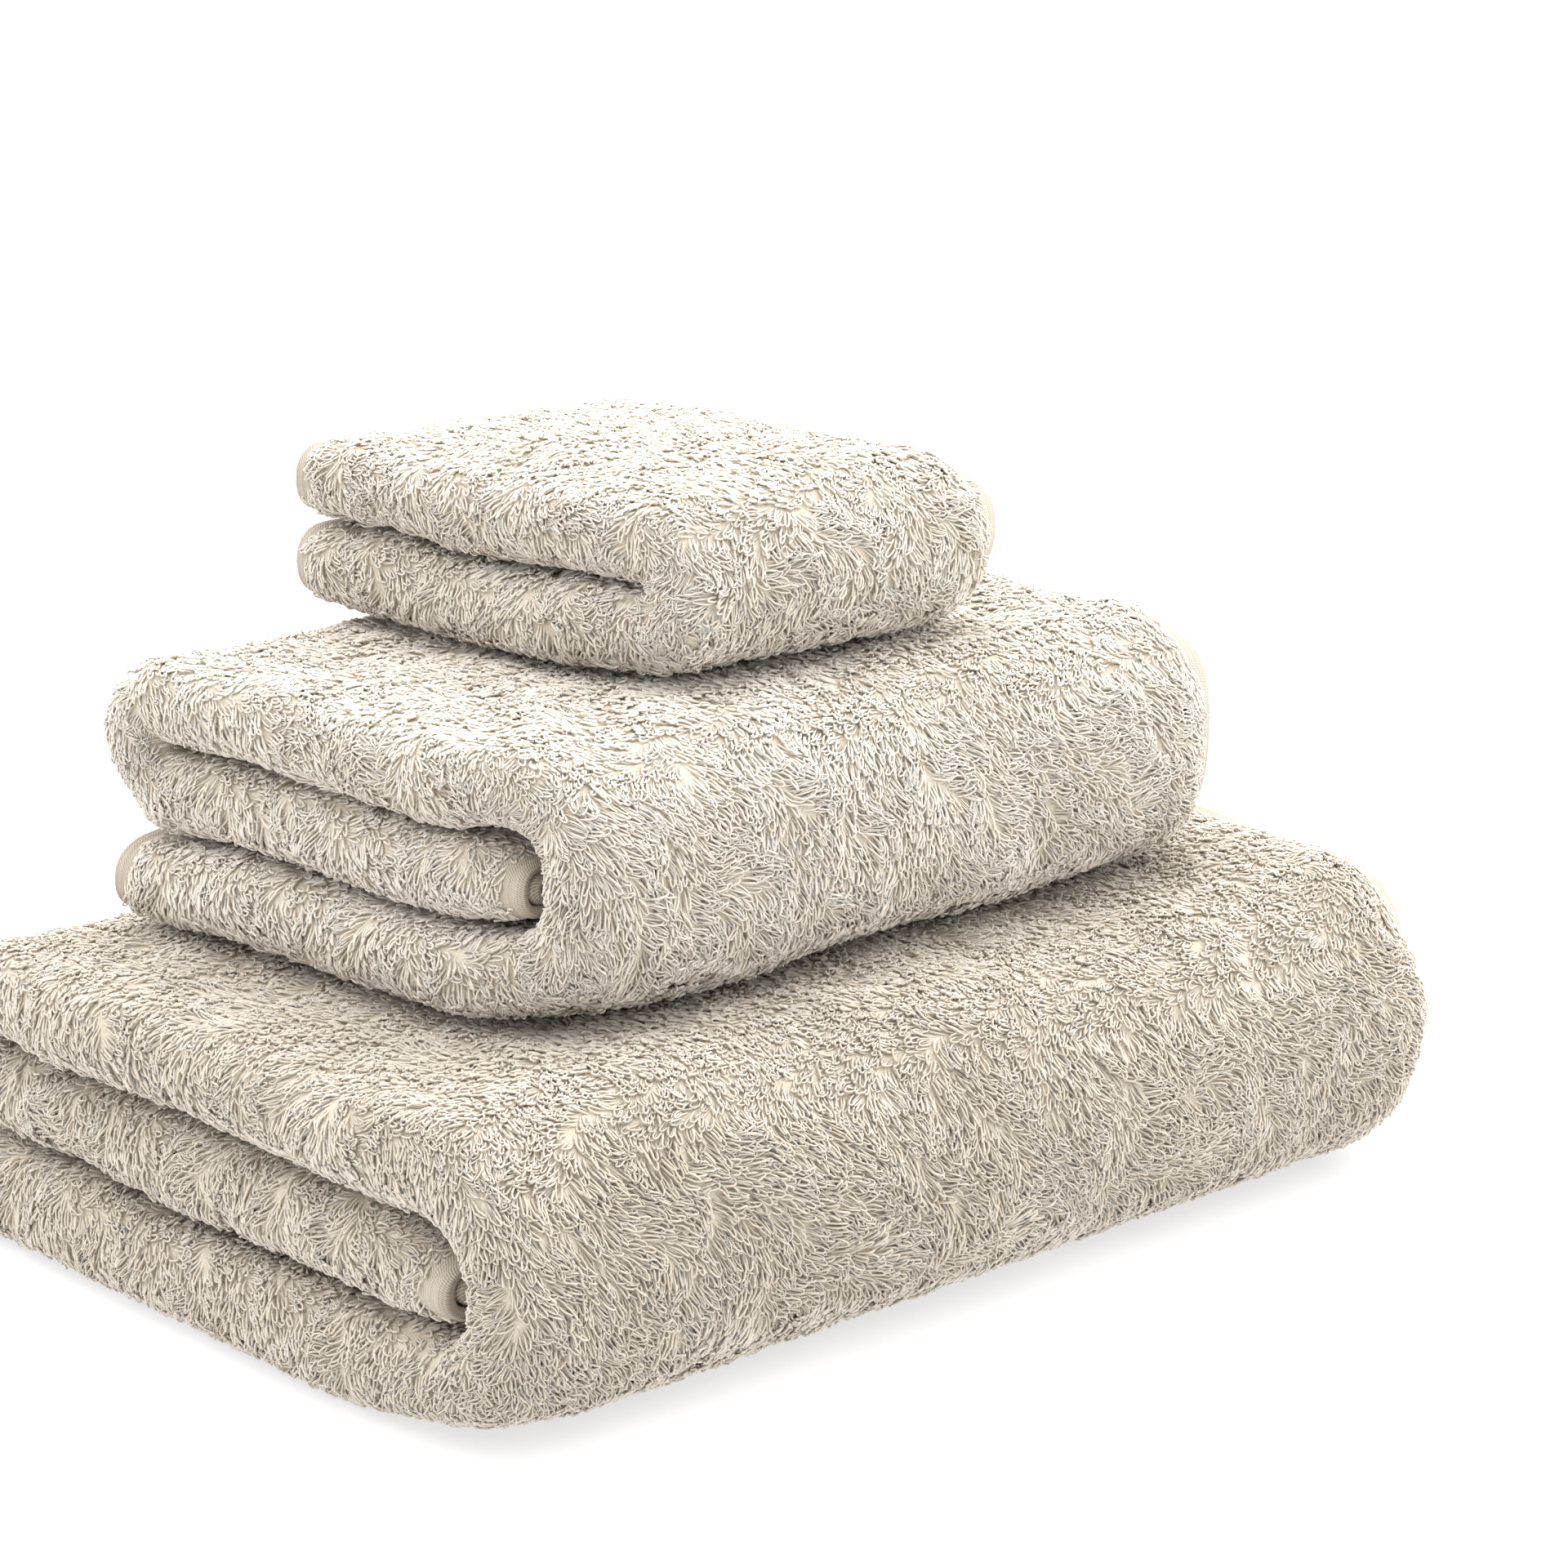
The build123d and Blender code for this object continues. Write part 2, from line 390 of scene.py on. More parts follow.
    def round_back(self, x, y, z):
        """Draw the far edge in towards the middle of the towel, so that its rim is rounded."""
        depth = self.soft["end_depth"]
        t = np.clip((y - (self.back - 32 * MM)) / (32 * MM), 0, 1) ** 2
        right = np.clip((x - self.x_fold + 12 * MM) / (self.x_out - self.x_fold + 12 * MM), 0, 1)
        left = np.clip((self.x_free + 20 * MM - x) / (20 * MM), 0, 1)
        x = x + depth * t * (0.6 * left - right)
        middle = (self.top + self.base) / 2
        reach = (z - middle) / (middle - self.base)
        return x, z - self.end_droop * depth * t * reach

    def wavy(self, points):
        """Gentle waves, which all towels share, and each towel's own ripples. None on the floor."""
        lift = smooth(points[..., 2] / (25 * MM))[..., None]
        wave = np.stack([waves(points, 80 * MM, 5 + i) for i in range(3)], -1)
        small = np.stack([waves(points, 32 * MM, self.seed + i, 10) for i in range(3)], -1)
        moved = points + wave * np.array([1.5, 1.5, 1.0]) * MM * lift
        return moved + small * np.array([0.6, 0.6, 0.4]) * MM * lift

    def turned(self, moved):
        """The towel's own turn and shift in the stack."""
        c, s = math.cos(self.yaw), math.sin(self.yaw)
        cx, cy = (self.x_free + self.x_out) / 2, (self.front + self.back) / 2
        dx, dy = moved[..., 0] - cx, moved[..., 1] - cy
        moved[..., 0] = cx + c * dx - s * dy + self.shift[0]
        moved[..., 1] = cy + s * dx + c * dy + self.shift[1]
        moved[..., 2] += self.shift[2]
        return moved

    def frame_at(self, s, l, off):
        """Unit tangents along s and l, the outward normal, and how much the face is stretched."""
        e = 0.4 * MM
        ds = self.place(s + e, l, off) - self.place(s - e, l, off)
        dl = self.place(s, l + e, off) - self.place(s, l - e, off)
        stretch_s = np.linalg.norm(ds, axis=-1) / (2 * e)
        stretch_l = np.linalg.norm(dl, axis=-1) / (2 * e)
        normal = unit(self.place(s, l, off + e) - self.place(s, l, off - e))
        return unit(ds), unit(dl), normal, stretch_s, stretch_l


def even(lo, hi, step):
    return np.linspace(lo, hi, max(2, int(math.ceil((hi - lo) / step)) + 1))


def run_of(values, rate):
    """Distance run at each value, where rate is the distance per unit of value."""
    return np.r_[0, np.cumsum((rate[1:] + rate[:-1]) / 2 * np.diff(values))]


def stations(line, lo, hi, flat_step, bend_step):
    """Distances along a planar curve, closer together where it bends."""
    s = np.linspace(lo, hi, 2000)
    n = line.at(s)[1]
    turn = np.r_[0, np.linalg.norm(np.diff(n, axis=0), axis=1)] / (s[1] - s[0])
    total = run_of(s, np.maximum(1 / flat_step, np.minimum(turn / 0.22, 1 / bend_step)))
    count = int(math.ceil(total[-1])) + 1
    return np.interp(np.linspace(0, total[-1], max(count, 3)), total, s)


def thick_sheet(name, towel, s, l, off_low, off_high):
    """Closed sheet over a grid of s and l, between two heights above the ply's middle."""
    ns, nl = len(s), len(l)
    S, L = np.meshgrid(s, l, indexing="ij")
    low = off_low(S, L) if callable(off_low) else np.full(S.shape, off_low)
    high = off_high(S, L) if callable(off_high) else np.full(S.shape, off_high)
    top = towel.place(S, L, high).reshape(-1, 3)
    under = towel.place(S, L, low).reshape(-1, 3)
    i, j = np.meshgrid(np.arange(ns - 1), np.arange(nl - 1), indexing="ij")
    a = (i * nl + j).ravel()
    face = np.stack([a, a + nl, a + nl + 1, a + 1], -1)
    n = ns * nl
    faces = [face[:, ::-1], face + n]
    edges = [
        (np.arange(nl - 1), np.arange(1, nl)),
        ((ns - 1) * nl + np.arange(1, nl), (ns - 1) * nl + np.arange(nl - 1)),
        (np.arange(1, ns) * nl, np.arange(ns - 1) * nl),
        (np.arange(ns - 1) * nl + nl - 1, np.arange(1, ns) * nl + nl - 1),
    ]
    for p, q in edges:
        faces.append(np.stack([q, p, p + n, q + n], -1))
    piece = new_mesh(name, np.concatenate([top, under]), np.concatenate(faces))
    store(piece, "along", np.concatenate([S.ravel(), S.ravel()]) / MM)
    store(piece, "across", np.concatenate([L.ravel(), L.ravel()]) / MM)
    return piece


def tubes(name, centre, side, up, radius, sides, turn):
    """One mesh of open-ended strands along (n, k, 3) centre lines. radius fits (n, k)."""
    n, k = centre.shape[:2]
    spin = np.arange(sides) * 2 * math.pi / sides + turn
    ring = side[:, :, None, :] * np.cos(spin)[None, None, :, None]
    ring = ring + up[:, :, None, :] * np.sin(spin)[None, None, :, None]
    co = centre[:, :, None, :] + ring * radius[:, :, None, None]
    base = np.arange(n)[:, None, None] * (k * sides)
    i = np.arange(k - 1)[None, :, None] * sides
    j = np.arange(sides)[None, None, :]
    a, b = base + i + j, base + i + (j + 1) % sides
    faces = np.stack([a, b, b + sides, a + sides], -1).reshape(-1, 4)
    return new_mesh(name, co.reshape(-1, 3), faces)


# ---------------------------------------------------------------- loop pile

def coverage(towel, leaf, s, l):
    """Loops per square centimetre wanted at a place on the outward face of the outer plies."""
    from_front = np.abs(l - towel.l_middle) - (towel.l_front[1] - towel.l_front[0]) / 2
    upper_ply = l < towel.l_middle
    at_back = l > towel.l_back[0] - 6 * MM
    upper_reach, lower_reach = PILE_SHOWN[leaf]
    reach = np.where(upper_ply, upper_reach, lower_reach) * MM
    out = np.where(from_front < reach, LOOPS_FULL, 0.0)
    if leaf == "bottom_leaf":
        near_tip = s - towel.spans[leaf][0] < FREE_TIP
        out = np.where(near_tip & ~upper_ply, LOOPS_FULL, out)
        if towel.name != "bath":
            out = np.maximum(out, np.where(upper_ply, LOOPS_UNDER, 0))
    if towel.name == "guest" and leaf != "fold":
        out = np.maximum(out, np.where(upper_ply, 0, LOOPS_INSIDE))
    return np.where(at_back, LOOPS_FULL * LOOPS_AT_BACK, out)


def covered(towel, points, above):
    """True for points on top that lie well under the towel above."""
    if above is None:
        return np.zeros(len(points), bool)
    x, y, z = points.T
    inside_x = (x > above.x_free - above.pitch + COVERED_INSET) & (x < above.x_out - COVERED_INSET)
    inside_y = (y > above.front + COVERED_INSET) & (y < above.back - COVERED_INSET)
    return inside_x & inside_y & (z > towel.top - 0.3 * towel.pitch)


def lean(normal, leaf):
    """Direction the pile lies in, before its locks and swirls: down on the sides, outward on top."""
    side = np.array([0.0, 0.8, -1.0]) if leaf in ("main_fold", "fold") else np.array([0.25, 0.0, -1.0])
    flat = np.array([0.5, -0.8, 0.0])
    mix = smooth((np.abs(normal[:, 2]) - 0.35) / 0.5)[:, None]
    want = side * (1 - mix) + flat * mix
    return want - normal * np.sum(want * normal, -1, keepdims=True)


def scatter(towel, leaf, above):
    """Where the loops of one leaf stand: s, l, true distances A and B, and whether pressed flat."""
    lo, hi = towel.spans[leaf]
    side_bare = SIDE_HEM - OVERGROWN
    lo = lo + (side_bare if leaf == "bottom_leaf" else 0)
    hi = hi - (side_bare if leaf == "tucked_leaf" or (leaf == "top_leaf" and towel.folds == 2) else 0)
    # even spacing over the stretched outward face
    fine_s = np.linspace(lo, hi, 400)
    mid = np.full(400, (END_HEM + towel.l_front[0]) / 2)
    run_s = run_of(fine_s, towel.frame_at(fine_s, mid, 2 * MM)[3])
    fine_l = np.linspace(END_HEM - OVERGROWN, towel.l_back[1] + 0.5 * MM, 900)
    mid = np.full(900, (lo + hi) / 2)
    run_l = run_of(fine_l, towel.frame_at(mid, fine_l, 2 * MM)[4])
    cell = 10 * MM / math.sqrt(LOOPS_FULL)
    ga, gb = np.arange(cell / 2, run_s[-1], cell), np.arange(cell / 2, run_l[-1], cell)
    A, B = (g.ravel() for g in np.meshgrid(ga, gb, indexing="ij"))
    A = A + rng.uniform(-JITTER, JITTER, A.shape) * cell
    B = B + rng.uniform(-JITTER, JITTER, B.shape) * cell
    s, l = np.interp(A, run_s, fine_s), np.interp(B, run_l, fine_l)
    want = coverage(towel, leaf, s, l)
    off = np.full(s.shape, GROUND_HALF)
    hidden = np.zeros(len(s), bool)
    if leaf == "top_leaf":
        hidden = covered(towel, towel.place(s, l, off), above)
        want = np.where(hidden, LOOPS_UNDER, want)
    # the inward face of a bend is tighter than the outward one that the grid was laid on
    outward = np.interp(s, fine_s, np.gradient(run_s, fine_s))
    tight = np.clip(towel.frame_at(s, l, off)[3] / np.maximum(outward, 0.2), 0, 1)
    keep = rng.uniform(size=s.shape) < want / LOOPS_FULL * np.where(l > towel.l_middle, tight, 1)
    size = (run_s[-1], run_l[-1])
    return s[keep], l[keep], A[keep], B[keep], hidden[keep], size


def nearest_lock(A, B, size):
    """The lock each loop belongs to, the nearest of a jittered grid: centre, distance, turn, shade."""
    na, nb = int(size[0] / LOCK_SIZE) + 4, int(size[1] / LOCK_SIZE) + 4
    seeds = rng.uniform(0.05, 0.95, (na, nb, 2))
    turn = rng.normal(0, LOCK_TURN, (na, nb))
    shade = rng.normal(0, 1, (na, nb))
    ia, ib = (A / LOCK_SIZE).astype(int) + 1, (B / LOCK_SIZE).astype(int) + 1
    best = np.full(len(A), 1e9)
    lock = np.zeros((len(A), 2))
    lock_turn, lock_shade = np.zeros(len(A)), np.zeros(len(A))
    for da in (-1, 0, 1):
        for db in (-1, 0, 1):
            ja, jb = np.clip(ia + da, 0, na - 1), np.clip(ib + db, 0, nb - 1)
            ca = (ja - 1 + seeds[ja, jb, 0]) * LOCK_SIZE
            cb = (jb - 1 + seeds[ja, jb, 1]) * LOCK_SIZE
            d = np.hypot(A - ca, B - cb)
            near = d < best
            best = np.where(near, d, best)
            lock[near] = np.stack([ca, cb], -1)[near]
            lock_turn[near] = turn[ja, jb][near]
            lock_shade[near] = shade[ja, jb][near]
    return lock, best, lock_turn, lock_shade


def grow(towel, leaf, above):
    """Centre lines and facts of all loops on one leaf."""
    s, l, A, B, pressed, size = scatter(towel, leaf, above)
    n = len(s)
    lock, best, lock_turn, lock_shade = nearest_lock(A, B, size)
    off = np.full(n, GROUND_HALF)
    ts, tl, normal, stretch_s, stretch_l = towel.frame_at(s, l, off + 1.5 * MM)
    stretch_s, stretch_l = np.maximum(stretch_s, LEAST_STRETCH), np.maximum(stretch_l, LEAST_STRETCH)
    root = towel.place(s, l, off)

    # direction: the pile's lean, swirls of two sizes, the lock's turn and the loop's own
    want = lean(normal, leaf)
    angle = np.arctan2(np.sum(want * tl, -1), np.sum(want * ts, -1))
    strong = 0.55 if leaf == "main_fold" else 1.0
    angle = angle + strong * 0.9 * waves(root, 19 * MM, towel.seed + 50)
    angle = angle + 0.5 * waves(root, 60 * MM, towel.seed + 60) + lock_turn
    angle = angle + rng.normal(0, LOOP_TURN, n)
    reach = LOOP_REACH * rng.uniform(*LOOP_REACH_SPREAD, n)
    da = np.cos(angle) * reach + LOCK_PULL * (lock[:, 0] - A)
    db = np.sin(angle) * reach + LOCK_PULL * (lock[:, 1] - B)
    angle = np.arctan2(db, da)

    # reach and rise
    reach = np.clip(np.hypot(da, db), *LOOP_REACH_LIMITS)
    upward = smooth((normal[:, 2] - 0.5) / 0.4)
    reach = np.where(pressed, PRESSED_REACH * reach, reach * (1 - TOP_REACH_LOSS * upward))
    inner = 1 - np.clip(best / LOCK_SIZE, 0, 1)
    rise = rng.uniform(*LOOP_RISE, n) * (0.62 + 0.5 * inner)
    rise = rise * (1 - TOP_RISE_LOSS * upward)
    rise = np.where(pressed, PRESSED_RISE * rise, rise)
    in_bend = (l > towel.l_middle) & (leaf in ("main_fold", "fold", "return_fold"))
    rise = np.where(in_bend, np.minimum(rise, BEND_RISE), rise)

    # the hairpin: out from the root, round its tip and back beside itself
    half = LOOP_HALF_WIDTH * rng.uniform(*LOOP_WIDTH_SPREAD, n)
    twist = rng.normal(0, LOOP_TWIST, n)
    curl = rng.normal(0, LOOP_CURL, n)
    t = LOOP_STATIONS[None, :]
    along = 1 - np.abs(2 * t - 1) ** 2.2
    b = half[:, None] * np.cos(math.pi * t) * (1 + 0.55 * np.sin(math.pi * t))
    a = reach[:, None] * along
    bend = angle[:, None] + curl[:, None] * (along - 0.35)
    flat_b = b * np.cos(twist[:, None] * along)
    up_b = b * np.sin(twist[:, None] * along)
    height = rise[:, None] * (1.7 * along - 0.85 * along ** 2) + up_b
    height = np.maximum(height, 0.1 * MM) - 0.35 * MM * (1 - along)
    move_s = a * np.cos(bend) - flat_b * np.sin(bend)
    move_l = a * np.sin(bend) + flat_b * np.cos(bend)
    centre = towel.place(
        s[:, None] + move_s / stretch_s[:, None],
        l[:, None] + move_l / stretch_l[:, None],
        off[:, None] + height,
    )
    centre[..., 2] = np.maximum(centre[..., 2], FLOOR_CLEARANCE)
    return {
        "centre": centre,
        "normal": normal,
        "tip": along * np.ones((n, 1)),
        # the towel's shade is painted shade for its place in the stack; the spread from loop to loop and
        # lock to lock is random tone
        "tint": np.clip(towel.shade + 0.10 * rng.normal(size=n) + 0.08 * lock_shade, 0, 1.2),
        "order": B,
        "girth": np.where(pressed, PRESSED_GIRTH, 1.0),
    }


def strands(name, loops):
    """One mesh of the yarn along the loops' centre lines."""
    centre = loops["centre"]
    n, k = centre.shape[:2]
    tangent = unit(np.gradient(centre, axis=1))
    up = loops["normal"][:, None, :] * np.ones((1, k, 1))
    side = unit(np.cross(tangent, up))
    up = np.cross(side, tangent)
    radius = STRAND_RADIUS * (1.0 - 0.12 * loops["tip"]) * loops["girth"][:, None]
    piece = tubes(name, centre, side, up, radius, STRAND_SIDES, math.pi / 2)
    store(piece, "tip", np.repeat(loops["tip"].ravel(), STRAND_SIDES))
    store(piece, "tint", np.repeat(loops["tint"], k * STRAND_SIDES))
    return piece


def pile(towel, leaf, above):
    """All loops of one leaf, as pieces small enough to be handled one by one."""
    loops = grow(towel, leaf, above)
    order = np.argsort(loops["order"], kind="stable")
    count = int(math.ceil(len(order) / MAX_LOOPS_PER_PIECE))
    made = []
    for k, part in enumerate(np.array_split(order, count)):
        chosen = {key: value[part] for key, value in loops.items()}
        piece = strands(f"{towel.name}_pile_{leaf}_{k + 1}", chosen)
        piece.data.materials.append(PILE)
        made.append(piece)
    return made


# ---------------------------------------------------------------- hems and seams

def ridges(distance, first, spacing, height):
    """Raised cords woven along a hem."""
    return height * (0.5 + 0.5 * np.cos(2 * math.pi * (distance - first) / spacing)) ** 2


def woven(name, towel, s, l, low, high):
    """Hem band in the flat weave, which stands for the CAD node of the same name."""
    piece = thick_sheet(name + "_woven", towel, s, l, low, high)
    piece.data.materials.append(TWILL)
    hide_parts(name)
    return piece


def side_hem(towel, name, edge, inward):
    """Flat woven band along a side edge. inward is 1 or -1, the way from the edge into the cloth."""
    s = np.sort(edge + inward * even(0, SIDE_HEM, 0.5 * MM))
    l = stations(towel.plies, 0.2 * MM, towel.plies.length - 0.2 * MM, 6 * MM, 1.2 * MM)
    inner = towel.outer / 3
    turn_back = (towel.l_back[0] + towel.l_back[1]) / 2

    def rounded(S):
        t = np.clip(np.abs(S - edge) / SIDE_ROUNDING, 0.01, 1)
        return np.sqrt(t * (2 - t))

    def high(S, L):
        d = np.abs(S - edge)
        outside = HEM_OUTER - 0.4 * MM + ridges(d, *SIDE_CORDS) * (d < SIDE_CORDS_END)
        within = inner - 0.4 * MM
        share = smooth((L - turn_back) / (8 * MM))
        return (outside * (1 - share) + within * share) * rounded(S)

    def low(S, L):
        return -(inner - 0.1 * MM) * rounded(S)

    return woven(name, towel, s, l, low, high)


def end_hem(towel, name, s_range, outer):
    """Flat woven band along an end edge: outer is the one on the outside of the folds."""
    s = stations(towel.path, s_range[0], s_range[1], 5 * MM, 1.5 * MM)
    full = towel.plies.length
    l = even(0, END_HEM, 0.7 * MM) if outer else full - even(0, END_HEM, 0.7 * MM)[::-1]

    def from_edge(L):
        return L if outer else full - L

    def high(S, L):
        d = from_edge(L)
        round_edge = np.sqrt(np.clip(d / END_ROUNDING, 0.0, 1))
        return (HEM_OUTER - 0.5 * MM) * round_edge + ridges(d, *END_CORDS) * round_edge

    def low(S, L):
        return HEM_INNER * np.sqrt(np.clip(from_edge(L) / END_ROUNDING, 0.02, 1))

    return woven(name, towel, s, l, low, high)


def stitches(towel, name, s, l):
    """Row of short rounded stitches along the points s, l of a hem's outward face."""
    line = towel.place(s, l, np.full(s.shape, SEAM_HEIGHT))
    run = np.r_[0, np.cumsum(np.linalg.norm(np.diff(line, axis=0), axis=1))]
    starts = np.arange(0, run[-1] - STITCH, STITCH + STITCH_GAP)
    u = np.array([0.0, 0.12, 0.5, 0.88, 1.0])
    fat = np.array([0.25, 0.85, 1.0, 0.85, 0.25]) * THREAD_RADIUS
    at = starts[:, None] + u[None, :] * STITCH
    S, L = np.interp(at, run, s), np.interp(at, run, l)
    arch = SEAM_HEIGHT + STITCH_ARCH * np.sin(math.pi * u)[None, :] * np.ones(at.shape)
    centre = towel.place(S, L, arch)
    tangent = unit(np.gradient(centre, axis=1))
    up = unit(towel.place(S, L, arch + 0.3 * MM) - centre)
    side = unit(np.cross(tangent, up))
    piece = tubes(name + "_stitches", centre, side, up, fat[None, :], 6, 0.0)
    piece.data.materials.append(THREAD)
    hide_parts(name)
    return piece


def side_seam(towel, name, s):
    """Stitching round the leaf's front edge on the outer ply of a side hem."""
    reach = towel.l_middle - END_HEM - 4 * MM
    l = np.linspace(towel.l_middle - reach, towel.l_middle + reach, SEAM_POINTS)
    return stitches(towel, name, np.full(l.shape, s), l)


def end_seam(towel, name, s_range):
    """Stitching along the outer end hem."""
    s = np.linspace(s_range[0] + 1.5 * MM, s_range[1] - 1.5 * MM, SEAM_POINTS)
    return stitches(towel, name, s, np.full(s.shape, END_SEAM_INSET))


# ---------------------------------------------------------------- materials

def node(tree, kind, **values):
    made = tree.nodes.new(kind)
    for key, value in values.items():
        setattr(made, key, value)
    return made


def cotton(name, roughness, sheen, glow=0.0):
    """Matt cotton shader with a soft sheen, and its node tree."""
    material = bpy.data.materials.new(name)
    material.use_nodes = True
    tree = material.node_tree
    shader = tree.nodes["Principled BSDF"]
    shader.inputs["Roughness"].default_value = roughness
    shader.inputs["Specular IOR Level"].default_value = 0.15
    shader.inputs["Sheen Weight"].default_value = sheen
    shader.inputs["Subsurface Weight"].default_value = glow
    shader.inputs["Subsurface Radius"].default_value = (1.0, 0.9, 0.8)
    shader.inputs["Subsurface Scale"].default_value = 0.0016
    shader.inputs["Sheen Roughness"].default_value = 0.5
    shader.inputs["Sheen Tint"].default_value = (1.0, 0.95, 0.88, 1.0)
    return material, tree, shader


def attribute(tree, name):
    return node(tree, "ShaderNodeAttribute", attribute_name=name).outputs["Fac"]


def ramp(tree, source, stops):
    made = node(tree, "ShaderNodeValToRGB")
    while len(made.color_ramp.elements) < len(stops):
        made.color_ramp.elements.new(0.5)
    for element, (place, colour) in zip(made.color_ramp.elements, stops):
        element.position = place
        element.color = (*colour, 1)
    tree.links.new(source, made.inputs["Fac"])
    return made.outputs["Color"]


def multiply(tree, a, b):
    made = node(tree, "ShaderNodeMix", data_type="RGBA", blend_type="MULTIPLY")
    made.inputs["Factor"].default_value = 1.0
    tree.links.new(a, made.inputs["A"])
    tree.links.new(b, made.inputs["B"])
    return made.outputs["Result"]


def math_node(tree, operation, *values):
    made = node(tree, "ShaderNodeMath", operation=operation)
    for socket, value in zip(made.inputs, values):
        if isinstance(value, (int, float)):
            socket.default_value = value
        else:
            tree.links.new(value, socket)
    return made.outputs[0]


def noise(tree, scale, detail=2.0):
    place = node(tree, "ShaderNodeTexCoord")
    made = node(tree, "ShaderNodeTexNoise")
    made.inputs["Scale"].default_value = scale
    made.inputs["Detail"].default_value = detail
    tree.links.new(place.outputs["Object"], made.inputs["Vector"])
    return made.outputs["Fac"]


def bump(tree, shader, height, strength, distance):
    made = node(tree, "ShaderNodeBump")
    made.inputs["Strength"].default_value = strength
    made.inputs["Distance"].default_value = distance
    tree.links.new(height, made.inputs["Height"])
    tree.links.new(made.outputs["Normal"], shader.inputs["Normal"])


def pile_material():
    """Looped yarn: painted slightly darker at the root, for the shade between the loops, and painted
    darker on the towels that are lit less in the stack, with each loop and lock a little different.
    """
    material, tree, shader = cotton("looped_pile", 0.88, 0.35, 0.7)
    # colour along each loop: painted a little darker towards the root, for the shade between the loops
    depth = ramp(tree, attribute(tree, "tip"), [(0.0, SHADED_ROOT), (0.45, MID), (1.0, TIP)])
    # painted shade per towel, darkest on the bath towel at the bottom of the stack, times a random tone
    # per loop and lock
    tint = ramp(tree, attribute(tree, "tint"), [(0.0, SHADE_DARK), (1.0, PALE)])
    cloud = ramp(tree, noise(tree, 28.0), [(0.35, (0.92, 0.91, 0.89)), (0.65, PALE)])
    colour = multiply(tree, multiply(tree, depth, tint), cloud)
    tree.links.new(colour, shader.inputs["Base Color"])
    return material


def ground_material():
    """Woven ground under the pile: the roots of the loops. Its colour is painted darker than the yarn's,
    for the shade in the gaps between the loops, with a fine random grain.
    """
    material, tree, shader = cotton("woven_ground", 0.95, 0.1)
    fine = noise(tree, 900.0, 3.0)
    # darker than the yarn: painted shade in the gaps between the loops
    colour = ramp(tree, fine, [(0.3, (0.50, 0.44, 0.35)), (0.7, (0.62, 0.555, 0.46))])
    tree.links.new(colour, shader.inputs["Base Color"])
    bump(tree, shader, fine, 0.6, 0.001)
    return material


def twill_material():
    """Flat hem weave: fine diagonal ribs over the band, in the cloth's own directions. The colour
    follows the ribs, dark in the grooves and light on the crests: painted shading of the weave, beside
    its bump.
    """
    material, tree, shader = cotton("hem_twill", 0.82, 0.3)
    along = attribute(tree, "along")
    across = attribute(tree, "across")
    diagonal = math_node(tree, "MULTIPLY", math_node(tree, "ADD", along, across), 7.5)
    rib = math_node(tree, "SINE", diagonal)
    cross = math_node(tree, "SINE", math_node(tree, "MULTIPLY", along, 10.5))
    weave = math_node(tree, "MULTIPLY_ADD", rib, 0.30, 0.5)
    weave = math_node(tree, "ADD", weave, math_node(tree, "MULTIPLY", cross, 0.12))
    # dark in the grooves and light on the ribs: painted shade of the weave's relief
    colour = ramp(tree, weave, [(0.15, (0.32, 0.275, 0.22)), (0.85, (0.60, 0.54, 0.455))])
    cloud = ramp(tree, noise(tree, 90.0), [(0.35, (0.90, 0.89, 0.87)), (0.65, PALE)])
    tree.links.new(multiply(tree, colour, cloud), shader.inputs["Base Color"])
    bump(tree, shader, weave, 0.5, 0.0004)
    return material


def thread_material():
    """Twisted sewing thread, a little paler than the cloth."""
    material, tree, shader = cotton("sewing_thread", 0.75, 0.3)
    fine = noise(tree, 1800.0)
    colour = ramp(tree, fine, [(0.3, (0.66, 0.59, 0.50)), (0.7, (0.82, 0.76, 0.68))])
    tree.links.new(colour, shader.inputs["Base Color"])
    return material


# ---------------------------------------------------------------- the towels

def cloth(towel, name, s_range, nodes):
    """Woven ground between the hems."""
    s = stations(towel.path, s_range[0], s_range[1], 7 * MM, 2.2 * MM)
    l = stations(towel.plies, END_HEM, towel.plies.length - END_HEM, 9 * MM, 1.3 * MM)
    piece = thick_sheet(name, towel, s, l, -GROUND_HALF, GROUND_HALF)
    piece.data.materials.append(GROUND)
    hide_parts(*nodes)
    return piece


def letter_folded(towel, body, above):
    """Bath or hand towel: one continuous cloth, two side hems, two end hems, seams and pile."""
    name = towel.name
    full = towel.path.length
    leaves = list(towel.spans)
    nodes = [f"{name}_{leaf}" for leaf in leaves]
    base = cloth(towel, name + "_cloth", (SIDE_HEM, full - SIDE_HEM), nodes)
    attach(base, body)
    extras = []
    for side, edge, inward in (("free", 0.0, 1), ("tucked", full, -1)):
        extras.append(side_hem(towel, f"{name}_side_hem_{side}", edge, inward))
        extras.append(side_seam(towel, f"{name}_side_seam_{side}", edge + inward * SIDE_SEAM_INSET))
    for layer in ("outer", "inner"):
        extras.append(end_hem(towel, f"{name}_end_hem_{layer}", (0, full), layer == "outer"))
    extras.append(end_seam(towel, name + "_end_seam", (0, full)))
    for leaf in leaves:
        extras += pile(towel, leaf, above)
    for piece in extras:
        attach(piece, body)


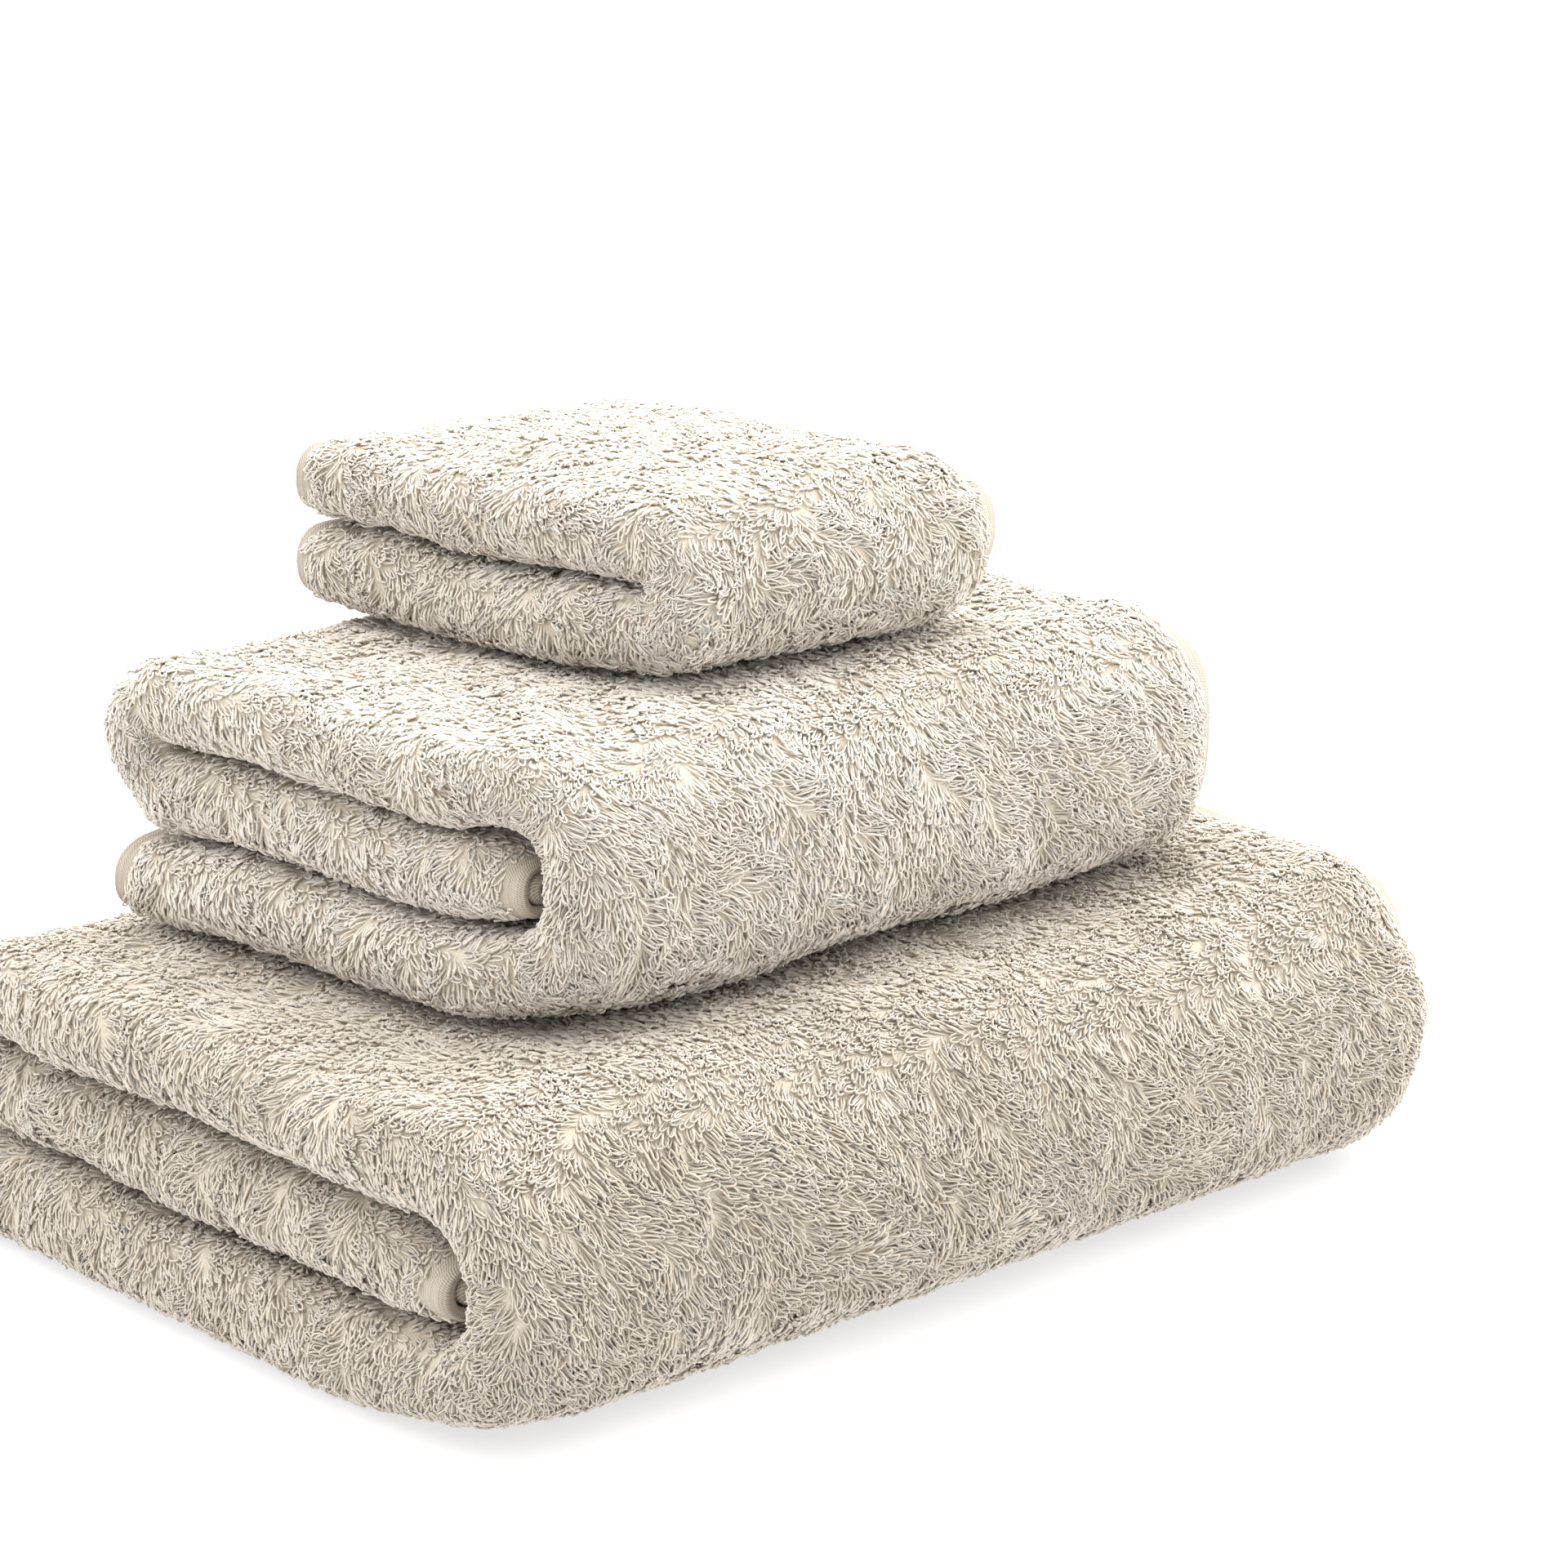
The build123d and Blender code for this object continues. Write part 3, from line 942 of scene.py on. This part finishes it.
def half_folded(towel, body, leaf_body):
    """Guest towel: folded in two. Its top leaf rides on leaf_body, and the fold between them is joined
    to no body.
    """

    def join(piece, place):
        if place == "fold":
            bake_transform(piece)
        else:
            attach(piece, leaf_body if place == "upper" else body)

    full = towel.path.length
    places = {"lower": "bottom_leaf", "fold": "fold", "upper": "top_leaf"}
    for place, leaf in places.items():
        lo, hi = towel.spans[leaf]
        inner_lo = lo + (SIDE_HEM if place == "lower" else 0)
        inner_hi = hi - (SIDE_HEM if place == "upper" else 0)
        base = cloth(towel, f"guest_cloth_{place}", (inner_lo, inner_hi), [f"guest_{leaf}"])
        extras = []
        for layer in ("outer", "inner"):
            extras.append(end_hem(towel, f"guest_end_hem_{layer}_{place}", (lo, hi), layer == "outer"))
        extras.append(end_seam(towel, "guest_end_seam_" + place, (lo, hi)))
        if place != "fold":
            edge, inward = (0.0, 1) if place == "lower" else (full, -1)
            seam_at = edge + inward * SIDE_SEAM_INSET
            extras.append(side_hem(towel, "guest_side_hem_" + place, edge, inward))
            extras.append(side_seam(towel, "guest_side_seam_" + place, seam_at))
        extras += pile(towel, leaf, None)
        for piece in extras + [base]:
            join(piece, place)


# ---------------------------------------------------------------- floor, light and camera

def floor():
    mesh = bpy.data.meshes.new("ground")
    size = FLOOR_HALF
    corners = [(-size, -size, 0), (size, -size, 0), (size, size, 0), (-size, size, 0)]
    mesh.from_pydata(corners, [], [(0, 1, 2, 3)])
    ground = bpy.data.objects.new("ground", mesh)
    bpy.context.scene.collection.objects.link(ground)
    material = bpy.data.materials.new("white_floor")
    material.use_nodes = True
    shader = material.node_tree.nodes["Principled BSDF"]
    shader.inputs["Base Color"].default_value = (0.36, 0.36, 0.36, 1)
    shader.inputs["Roughness"].default_value = 0.9
    shader.inputs["Specular IOR Level"].default_value = 0.0
    shader.inputs["Emission Color"].default_value = (1, 1, 1, 1)
    shader.inputs["Emission Strength"].default_value = 0.64
    mesh.materials.append(material)


def area_light(name, place, size, power):
    data = bpy.data.lights.new(name, "AREA")
    data.size = size
    data.energy = power
    lamp = bpy.data.objects.new(name, data)
    lamp.location = place
    lamp.rotation_mode = "QUATERNION"
    lamp.rotation_quaternion = (Vector(LAMP_TARGET) - Vector(place)).to_track_quat("-Z", "Y")
    bpy.context.scene.collection.objects.link(lamp)


def world():
    """White studio, brightest overhead and behind the towels."""
    sky = bpy.data.worlds.new("studio")
    sky.use_nodes = True
    background = sky.node_tree.nodes["Background"]
    background.inputs["Color"].default_value = (1, 1, 1, 1)
    place = node(sky.node_tree, "ShaderNodeTexCoord")
    towards = node(sky.node_tree, "ShaderNodeVectorMath", operation="DOT_PRODUCT")
    towards.inputs[1].default_value = (-0.1, 0.42, 0.9)
    sky.node_tree.links.new(place.outputs["Generated"], towards.inputs[0])
    glow = math_node(sky.node_tree, "MAXIMUM", towards.outputs["Value"], 0.0)
    glow = math_node(sky.node_tree, "MULTIPLY_ADD", glow, 1.75, 1.17)
    sky.node_tree.links.new(glow, background.inputs["Strength"])
    bpy.context.scene.world = sky


def camera():
    data = bpy.data.cameras.new("camera")
    data.sensor_width = 36.0
    data.lens = LENS
    data.clip_start, data.clip_end = 0.05, 50
    made = bpy.data.objects.new("camera", data)
    bpy.context.scene.collection.objects.link(made)
    az, pitch = math.radians(CAMERA_AZIMUTH), math.radians(CAMERA_PITCH)
    forward = Vector((-math.sin(az) * math.cos(pitch), math.cos(az) * math.cos(pitch), -math.sin(pitch)))
    right = Vector((math.cos(az), math.sin(az), 0))
    up = right.cross(forward)
    corner = Vector((BATH.x_out, BATH.front, 0))
    made.location = corner - forward * CAMERA_DISTANCE - right * CORNER_RIGHT - up * CORNER_UP
    made.rotation_mode = "QUATERNION"
    made.rotation_quaternion = forward.to_track_quat("-Z", "Y")
    bpy.context.scene.camera = made


PILE, GROUND, TWILL, THREAD = pile_material(), ground_material(), twill_material(), thread_material()
BATH, HAND, GUEST = (Towel(name, **shape) for name, shape in SHAPES.items())

letter_folded(BATH, "bath_towel", HAND)
letter_folded(HAND, "hand_towel", GUEST)
half_folded(GUEST, "guest_towel", "guest_leaf")

floor()
world()
area_light("back", (0.5, 1.9, 1.3), 2.0, 25)
area_light("front", (0.35, -1.25, 0.75), 1.4, 4.6)
area_light("top", (0.0, 0.6, 1.9), 1.8, 2)
camera()
bpy.context.scene.view_settings.view_transform = "Standard"
